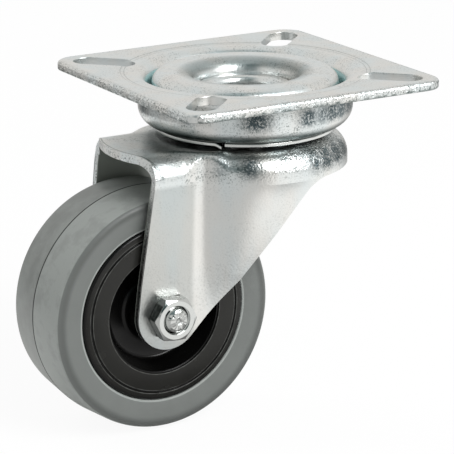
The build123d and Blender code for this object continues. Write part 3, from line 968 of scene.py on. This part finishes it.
@dataclass
class Wheel:
    """The wheel: a moulded centre and the rubber tyre on its rim, in millimetres."""

    steps: int = 180
    tread: float = 24.98
    tread_edge: float = 24.25
    corner: float = 10.19
    corner_round: float = 1.25
    parting: float = 24.86
    parting_width: float = 0.16
    rim: float = 18.5
    rim_side: float = 9.3
    channel_mouth: float = 6.3
    channel_floor: float = 5.5
    channel_play: float = 0.05
    seat: float = 16.9
    bore: float = 4.05
    boss: float = 6.0
    face: float = 9.9
    recess_floor: float = 4.9
    recess_round: float = 1.2
    recess: float = 12.45
    step: float = 0.45
    groove: float = 16.45
    groove_width: float = 0.3
    groove_depth: float = 0.32
    band: float = 16.95

    def channel(self, play: float) -> Profile:
        """Returns the corners of the channel that locks the tyre on the rim."""
        return [(self.rim - play, self.channel_mouth, 0), (self.seat - play, self.channel_floor, 0)]

    def build_tyre(self) -> Piece:
        """Models the tyre, with the fine line of its mould round the tread."""
        half = [
            (self.parting, 0.03, 0),
            (self.tread, self.parting_width, 0.05), (self.tread, 3 * self.parting_width, 0),
            (self.tread_edge, self.corner, self.corner_round),
            (self.rim + 0.02, self.rim_side + 0.04, 0.3),
            (self.rim, self.rim_side - 0.5, 0),
            *self.channel(0),
        ]
        return turn("rubber_tyre", AXLE, rounded(mirrored(half)), self.steps)

    def build_centre(self) -> Piece:
        """Models the wheel centre, with its rim band, fine groove and stepped recess."""
        half = [
            (self.bore, self.face, 0), (self.boss, self.face, 0.35),
            (self.boss + 0.4, self.recess_floor, self.recess_round),
            (self.recess - 1.6, self.recess_floor, self.recess_round),
            (self.recess, self.face - self.step, 0.12),
            (self.recess + 0.22, self.face - self.step, 0.08),
            (self.recess + 0.3, self.face, 0.16), (self.groove, self.face, 0.14),
            (self.groove + 0.06, self.face - self.groove_depth, 0.04),
            (self.groove + self.groove_width, self.face - self.groove_depth, 0.04),
            (self.band, self.face - 0.02, 0.16),
            (self.rim - 0.35, self.face - 0.22, 0.5),
            (self.rim - self.channel_play, self.rim_side - 0.2, 0.1),
            *self.channel(self.channel_play),
        ]
        return turn("wheel_centre", AXLE, rounded(mirrored(half)), self.steps)

    def build(self, materials: Materials) -> None:
        """Models and dresses both pieces."""
        place_piece(self.build_tyre(), Body.WHEEL, Slot.TYRE_RUBBER, materials, "tyre")
        place_piece(self.build_centre(), Body.WHEEL, Slot.HUB_PLASTIC, materials, "hub")


@dataclass
class Axle:
    """The bolt through both legs and its nut, in millimetres."""

    leg_face: float = 11.75
    shank: float = 2.5
    shank_steps: int = 64
    flats: float = 8.5
    hex_turn: float = radians(56)
    head_height: float = 3.5
    nut_height: float = 3.2
    chamfer_inset: float = 0.25
    chamfer_slope: float = math.tan(radians(30))
    edge_round: float = 0.09
    tool_steps: int = 96
    thread_start: float = 13.3
    thread_end: float = 15.55
    thread_pitch: float = 0.8
    thread_depth: float = 0.32
    thread_round: float = 0.03
    end: float = 15.85
    end_round: float = 1.9
    rough_end: float = 15.4
    rough_depth: float = 0.07
    bore: float = 2.53
    mouth: float = 3.08

    def hexagon(self, name: str, low: float, high: float, chamfered: bool) -> Piece:
        """Models a hexagonal bar across the axle, chamfered at its low end.

        Args:
            name: the piece's name.
            low: its low end, along the axle.
            high: its high end.
            chamfered: whether its high end is chamfered too.

        Returns:
            The new piece.
        """
        bpy.ops.object.select_all(action="DESELECT")
        corner = self.flats / math.sqrt(3)
        bpy.ops.mesh.primitive_cylinder_add(
            vertices=6,
            radius=corner * MM,
            depth=(high - low) * MM,
            location=AXLE.at(0, (low + high) / 2),
            rotation=(math.pi / 2, math.pi / 2 - self.hex_turn, 0),
        )
        piece = settle(name)
        inner, outer = self.flats / 2 - self.chamfer_inset, 1.1 * corner
        drop = (outer - inner) * self.chamfer_slope
        last = [(outer, high - drop, 0), (inner, high, 0)] if chamfered else [(outer, high, 0)]
        cone = [(0, low, 0), (inner, low, 0), (outer, low + drop, 0), *last, (0, high, 0)]
        combine(piece, "INTERSECT", turn("chamfer", AXLE, rounded(cone), self.tool_steps))
        return piece

    def soften(self, piece: Piece) -> None:
        """Softens the edges of a piece."""
        finish_with(piece, "BEVEL", width=self.edge_round * MM, segments=2, limit_method="ANGLE")
        bpy.ops.object.shade_smooth_by_angle(angle=SMOOTH_ANGLE)

    def build_bolt(self) -> Piece:
        """Models the bolt, its thread beyond the nut's middle and its rough rounded end."""
        profile = [(0, -self.leg_face - 1, 0), (self.shank, -self.leg_face - 1, 0)]
        at, pitch = self.thread_start, self.thread_pitch
        while at + pitch < self.thread_end:
            profile += [
                (self.shank, at, self.thread_round),
                (self.shank - self.thread_depth, at + pitch * 0.42, self.thread_round),
                (self.shank, at + pitch * 0.84, self.thread_round),
            ]
            at += pitch
        profile += [
            (self.shank - 0.08, self.end - 0.75, 0.08), (self.end_round, self.end - 0.2, 0.25),
            (0.75, self.end, 0.3), (0.4, self.end - 0.3, 0.1), (0, self.end - 0.38, 0),
        ]
        shank = turn("bolt_and_head", AXLE, rounded(profile), self.shank_steps)
        choose(shank, lambda place: -place.y > self.rough_end * MM)
        bpy.ops.transform.vertex_random(offset=self.rough_depth * MM, uniform=0, normal=1, seed=3)
        bpy.ops.object.mode_set(mode="OBJECT")
        low, high = -self.leg_face - self.head_height, -self.leg_face
        self.soften(self.hexagon("head", low, high, False))
        shank.select_set(True)
        bpy.context.view_layer.objects.active = shank
        bpy.ops.object.join()
        return shank

    def build_nut(self) -> Piece:
        """Models the nut, with its countersunk bore and softened edges."""
        low, high = self.leg_face, self.leg_face + self.nut_height
        nut = self.hexagon("hexagon_nut", low, high, True)
        sink = self.mouth - self.bore
        profile = [
            (0, low - 1, 0), (self.mouth, low - 1, 0),
            (self.mouth, low, 0), (self.bore, low + sink, 0),
            (self.bore, high - sink, 0), (self.mouth, high, 0),
            (self.mouth, high + 1, 0), (0, high + 1, 0),
        ]
        combine(nut, "DIFFERENCE", turn("core", AXLE, rounded(profile), self.tool_steps))
        self.soften(nut)
        return nut

    def build(self) -> None:
        """Models and dresses both pieces."""
        plating = {Slot.BRIGHT_STEEL: FASTENER.material()}
        place_piece(self.build_bolt(), Body.FORK, Slot.BRIGHT_STEEL, plating, "axle_bolt")
        place_piece(self.build_nut(), Body.FORK, Slot.BRIGHT_STEEL, plating, "axle_nut")


@dataclass
class DustRing:
    """The split ring under the bowl, with one end bent down, in millimetres."""

    outer: float = 19.0
    inner: float = 17.0
    high: float = -11.05
    low: float = -11.85
    edge_round: float = 0.25
    steps: int = 240
    end: float = radians(224.6)
    gap: float = radians(2.2)
    hook: float = radians(3.4)
    hook_drop: float = 0.62
    bends: int = 5
    slack: float = radians(0.05)

    def from_end(self, place: Vector) -> float:
        """Returns how far round a place is from the ring's bent end."""
        return (self.end + self.slack - math.atan2(place.y, place.x)) % math.tau

    def build(self, materials: Materials) -> None:
        """Models and dresses the ring.

        Args:
            materials: the material of each slot.
        """
        axis = Axis((0, 0, 0), (0, 0, 1), (math.cos(self.end), math.sin(self.end), 0))
        bottom = [(out, self.low, self.edge_round) for out in (self.inner, self.outer)]
        top = [(out, self.high, self.edge_round) for out in (self.outer, self.inner)]
        sweep = math.tau - self.gap
        ring = turn("split_dust_ring", axis, rounded(bottom + top), self.steps, sweep)
        for bend in range(self.bends):
            reach = self.hook * (self.bends - bend) / self.bends
            choose(ring, lambda place: self.from_end(place) < reach)
            bpy.ops.transform.translate(value=(0, 0, -self.hook_drop / self.bends * MM))
            bpy.ops.object.mode_set(mode="OBJECT")
        place_piece(ring, Body.FORK, Slot.BRIGHT_STEEL, materials, "dust_ring")


def place_piece(piece: Piece, body: Body, finish: Slot, materials: Materials, *nodes: str) -> None:
    """Dresses a modelled piece and puts it on its body in the place of CAD nodes.

    Args:
        piece: the piece.
        body: the body that it moves with.
        finish: its material slot.
        materials: the material of each slot.
        nodes: the nodes that it stands for.
    """
    piece.data.materials.clear()
    piece.data.materials.append(materials[finish])
    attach(piece, body.value)
    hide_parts(*nodes)
    log.info("%s: %d faces, on %s", piece.name, len(piece.data.polygons), body.value)


@dataclass
class Lamp:
    """A soft box, aimed at the castor."""

    name: str
    place: Point
    size: Pair
    power: float
    in_gloss: bool = True

    def add(self, target: Vector) -> None:
        """Adds the lamp.

        Args:
            target: the point that it faces.
        """
        bpy.ops.object.light_add(type="AREA", location=self.place)
        lamp = bpy.context.object
        lamp.name = self.name
        lamp.data.shape = "RECTANGLE"
        lamp.data.size, lamp.data.size_y = self.size
        lamp.data.energy = self.power
        lamp.visible_camera = False
        lamp.visible_glossy = self.in_gloss
        lamp.rotation_euler = (Vector(self.place) - target).to_track_quat("Z", "Y").to_euler()


@dataclass
class Studio:
    """Plain studio: a pale floor, a pale surround, soft lamps and the camera."""

    target: Vector = field(default_factory=lambda: Vector((-0.005, 0, -0.03)))
    camera_place: Point = (-0.25962, -0.43689, 0.11677)
    camera_right: Point = (0.86277, -0.50553, -0.00512)
    camera_up: Point = (0.14798, 0.24289, 0.9587)
    lens: float = 200.33
    sensor: float = 36
    wall: Colour = (0.85, 0.84, 0.82)
    half_dim: Colour = (0.30, 0.37, 0.375)
    half_dim_way: Point = (-0.1, -0.5, 0.86)
    half_dim_from: Pair = (0.74, 0.9)
    dim: Colour = (0.045, 0.085, 0.085)
    dim_left: Mask = (
        Limit(By.ANGLE, -75, -45), Limit(By.ANGLE, 4, -12),
        Limit(By.Z, 0.12, 0.26), Limit(By.Z, 0.9, 0.7),
    )
    horizon: Masks = ((Limit(By.Z, 0.17, 0.07),),)
    horizon_fade: Pair = (0.5, 1.3)
    horizon_things: tuple[Patch, ...] = (
        (-18, 12, 0.95), (34, 7, 0.8), (63, 5, 0.8), (-95, 30, 0.7), (110, 16, 0.9),
    )
    plain_light: float = 0.55
    floor_size: float = 8
    floor_z: float = -71 * MM
    floor_colour: Colour = (0.9, 0.9, 0.9)
    floor_white: float = 0.93
    floor_gloss_colour: Colour = (0.93, 0.925, 0.91)
    floor_front: Ramp = (-12, 4, 0.74, 1.30)
    floor_right: Ramp = (85, 120, 1.0, 0.4)
    floor_behind: Ramp = (-135, -100, 0.4, 1.0)
    # Painted shadow: the floor's gloss dims close under the castor.
    painted_shadow_under_castor: Ramp = (25, 62, 0.35, 1.0)
    floor_far: Pair = (300, 700)
    bright_patch: Masks = ((Limit(By.ANGLE, -95, -110), Limit(By.REACH, 225, 205)),)
    bright: float = 1.7
    lamps: tuple[Lamp, ...] = (
        Lamp("key_lamp", (0.19, -0.69, 0.54), (0.46, 0.62), 7.4),
        Lamp("back_lamp", (-0.35, 0.75, 0.65), (0.5, 0.4), 2.5, in_gloss=False),
    )

    def add_camera(self) -> None:
        """Adds the camera."""
        right, up = Vector(self.camera_right), Vector(self.camera_up)
        bpy.ops.object.camera_add(location=self.camera_place)
        camera = bpy.context.object
        camera.name = "camera"
        camera.rotation_euler = Matrix((right, up, right.cross(up))).transposed().to_euler()
        camera.data.lens = self.lens
        camera.data.sensor_width = self.sensor
        bpy.context.scene.camera = camera

    def horizon_shade(self, graph: Graph) -> Socket:
        """Returns how dark the far surroundings are."""
        return graph.patches(self.horizon_things, self.horizon_fade)

    def floor_gloss(self, graph: Graph) -> Socket:
        """Finds how bright the floor is in the castor's gloss.

        It is dim in front, on the right, behind and where far things stand, darker close under the
        castor as a painted shadow, and has one bright patch behind.

        Args:
            graph: its nodes.

        Returns:
            The brightness.
        """
        angle, reach = graph.measure(By.ANGLE), graph.measure(By.REACH)
        bright = graph.product(graph.masked(self.bright_patch), self.bright)
        far = graph.product(graph.span(reach, *self.floor_far), self.horizon_shade(graph))
        return graph.product(
            graph.span(angle, *self.floor_front),
            graph.span(angle, *self.floor_right),
            graph.largest(graph.span(angle, *self.floor_behind), bright),
            graph.span(reach, *self.painted_shadow_under_castor),
            graph.less(1.0, far),
        )

    def add_floor(self) -> None:
        """Adds the floor, which keeps a soft shadow."""
        bpy.ops.mesh.primitive_plane_add(size=self.floor_size, location=(0, 0, self.floor_z))
        floor = bpy.context.object
        floor.name = "floor"
        made = bpy.data.materials.new("pale_floor")
        made.use_nodes = True
        graph = Graph(made.node_tree)
        made.node_tree.nodes.remove(made.node_tree.nodes["Principled BSDF"])
        matte = graph.node("BsdfDiffuse", {"Color": self.floor_colour})
        white = graph.node("Emission", {"Color": WHITE, "Strength": 1.0})
        gloss = {"Color": self.floor_gloss_colour, "Strength": self.floor_gloss(graph)}
        path = graph.node("LightPath", {}).outputs
        seen = graph.product(path["Is Camera Ray"], self.floor_white)
        plain = graph.node("MixShader", {0: seen, 1: matte, 2: white})
        glossy = {0: path["Is Glossy Ray"], 1: plain, 2: graph.node("Emission", gloss)}
        out = made.node_tree.nodes["Material Output"]
        graph.feed(out, "Surface", graph.node("MixShader", glossy))
        floor.data.materials.append(made)

    def surround_gloss(self, graph: Graph) -> Socket:
        """Finds what the castor's gloss shows of the surround.

        It is pale, less so high up in front, and dim on the left and at the far things.

        Args:
            graph: the world's nodes.

        Returns:
            The colour.
        """
        way = graph.node("TexCoord", {}).outputs["Generated"]
        inputs = {0: way, 1: self.half_dim_way}
        towards = graph.node("VectorMath", inputs, operation="DOT_PRODUCT").outputs["Value"]
        pale = graph.blend(graph.span(towards, *self.half_dim_from), self.wall, self.half_dim)
        far = graph.product(graph.masked(self.horizon), self.horizon_shade(graph))
        return graph.blend(graph.largest(graph.masked((self.dim_left,)), far), pale, self.dim)

    def add_surround(self) -> None:
        """Sets the world: white behind the castor, a plain light and a look of its own in gloss."""
        world = bpy.data.worlds.new("surround")
        world.use_nodes = True
        bpy.context.scene.world = world
        graph = Graph(world.node_tree, "Generated", 1.0)
        world.node_tree.nodes.remove(world.node_tree.nodes["Background"])
        light = graph.node("Background", {"Color": WHITE, "Strength": self.plain_light})
        gloss = {"Color": self.surround_gloss(graph), "Strength": 1.0}
        white = graph.node("Background", {"Color": WHITE, "Strength": 1.0})
        path = graph.node("LightPath", {}).outputs
        glossy = {0: path["Is Glossy Ray"], 1: light, 2: graph.node("Background", gloss)}
        seen = graph.largest(path["Is Camera Ray"], path["Is Transmission Ray"])
        both = {0: seen, 1: graph.node("MixShader", glossy), 2: white}
        out = world.node_tree.nodes["World Output"]
        graph.feed(out, "Surface", graph.node("MixShader", both))

    def build(self) -> None:
        """Adds all of the studio."""
        bpy.context.scene.view_settings.view_transform = "Standard"
        self.add_camera()
        self.add_floor()
        self.add_surround()
        for lamp in self.lamps:
            lamp.add(self.target)


def dress_nodes(materials: Materials) -> None:
    """Gives every CAD node its own plating or the finish of its material slot.

    Args:
        materials: the material of each slot.
    """
    own = {name: finish.material() for name, finish in OWN_PLATING.items()}
    for part in frame["record"]["subparts"]:
        node = frame["nodes"][part["node"]]
        node.data.materials.clear()
        node.data.materials.append(own.get(part["node"], materials[Slot(part["material_slot"])]))
        log.info("%s: %s", part["node"], part["material_slot"])


def main() -> None:
    """Builds the studio and dresses the castor."""
    logging.basicConfig(level=logging.INFO, format="%(name)s: %(message)s")
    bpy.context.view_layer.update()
    bpy.ops.object.select_all(action="DESELECT")
    Studio().build()
    materials = {slot: finish.material() for slot, finish in FINISHES.items()}
    dress_nodes(materials)
    Wheel().build(materials)
    Axle().build()
    DustRing().build(materials)
    bpy.context.view_layer.update()


if __name__ == "__main__":
    main()
